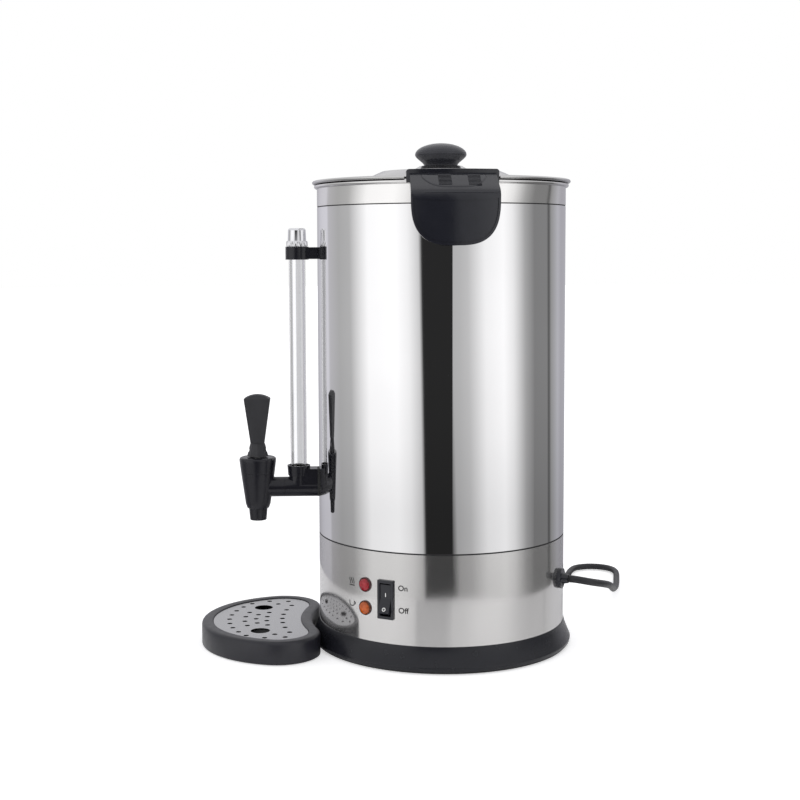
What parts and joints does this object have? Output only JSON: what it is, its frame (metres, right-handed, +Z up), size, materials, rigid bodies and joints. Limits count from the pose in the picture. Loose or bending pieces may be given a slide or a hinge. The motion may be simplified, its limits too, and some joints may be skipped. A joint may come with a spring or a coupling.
{
  "type": "coffee urn",
  "caption": "Cylindrical steel coffee urn with lift-off lid, side handles, sight gauge, lever tap, rocker switch, lamps, drip tray with grille and coiled power cord.",
  "frame": {"origin": "on the table under the middle of the base ring", "axes": "+Z up; -Y towards the tap and the drip tray; +X and -X towards the two handles"},
  "size_m": [0.3855, 0.4097, 0.425],
  "materials": {
    "black_plastic": "satin",
    "mirror_steel": "polished",
    "satin_steel": "satin",
    "aluminium": "cast",
    "element_steel": "matte",
    "brass": "plain",
    "ceramic": "matte",
    "wire": "smooth",
    "rubber": "matte",
    "silicone": "matte",
    "clear_tube": "clear",
    "chrome": "polished",
    "red_lens": "translucent",
    "amber_lens": "translucent",
    "cord_jacket": "satin"
  },
  "bodies": {
    "urn": {"foot_ring": "rubber", "base_ring": "black_plastic", "bottom_cover": "satin_steel", "cover_screws": "satin_steel", "base_band": "mirror_steel", "seam_ring": "satin_steel", "outer_shell": "mirror_steel", "inner_tank": "satin_steel", "heat_plate": "aluminium", "heating_element": "element_steel", "element_clamp": "satin_steel", "clamp_nut": "brass", "thermostat": "ceramic", "thermal_cutout": "ceramic", "terminal_block": "ceramic", "wire_harness": "wire", "pump_base": "satin_steel", "pump_tube": "satin_steel", "coffee_basket": "satin_steel", "basket_spreader": "satin_steel", "handle_right": "black_plastic", "handle_left": "black_plastic", "handle_screws": "satin_steel", "tap_body": "black_plastic", "tap_bonnet": "black_plastic", "tap_spring": "satin_steel", "gauge_block": "black_plastic", "shank_gasket": "rubber", "tank_seal": "silicone", "shank_nut": "satin_steel", "sight_tube": "clear_tube", "tube_seal": "rubber", "gauge_cap": "chrome", "gauge_clip": "black_plastic", "clip_screw": "satin_steel", "switch_housing": "black_plastic", "switch_terminals": "brass", "heating_lamp": "red_lens", "warm_lamp": "amber_lens", "lamp_clips": "satin_steel", "cord_gland": "black_plastic", "gland_nut": "black_plastic", "power_cord": "cord_jacket", "cord_coil": "cord_jacket", "cord_tie": "rubber", "plug_body": "black_plastic", "plug_pins": "brass"},
    "lid": {"lid": "satin_steel", "lid_knob": "black_plastic", "knob_washer": "rubber", "knob_screw": "satin_steel"},
    "stem": {"tap_stem": "satin_steel", "seat_cup": "silicone"},
    "lever": {"tap_lever": "black_plastic", "lever_pin": "satin_steel"},
    "rocker": {"switch_rocker": "black_plastic"},
    "tray": {"drip_tray": "black_plastic"},
    "grille": {"drip_grille": "satin_steel"}
  },
  "joints": [
    {"name": "lid_lift", "type": "slide", "parent": "urn", "child": "lid", "axis": [0, 0, 1], "range_m": [0, 0.15]},
    {"name": "lever_tilt", "type": "hinge", "parent": "stem", "child": "lever", "pos_m": [0, -0.1573, 0.165], "axis": [0, 1, 0], "range_deg": [0, 30], "stiffness_Nm_per_rad": 0.4, "springref_deg": -5.73},
    {"name": "stem_lift", "type": "slide", "parent": "urn", "child": "stem", "axis": [0, 0, 1], "range_m": [0, 0.0036], "deforming": ["tap_spring"]},
    {"name": "rocker_tilt", "type": "hinge", "parent": "urn", "child": "rocker", "pos_m": [0.08817, -0.05029, 0.0565], "axis": [0.4955, 0.8686, 0], "range_deg": [0, 22]},
    {"name": "tray_pull", "type": "slide", "parent": "urn", "child": "tray", "axis": [0, -1, 0], "range_m": [0, 0.12]},
    {"name": "grille_lift", "type": "slide", "parent": "tray", "child": "grille", "axis": [0, 0, 1], "range_m": [0, 0.06]}
  ],
  "couplings": [
    {"joint": "stem_lift", "follows": "lever_tilt", "m_per_rad": 0.0068755}
  ]
}
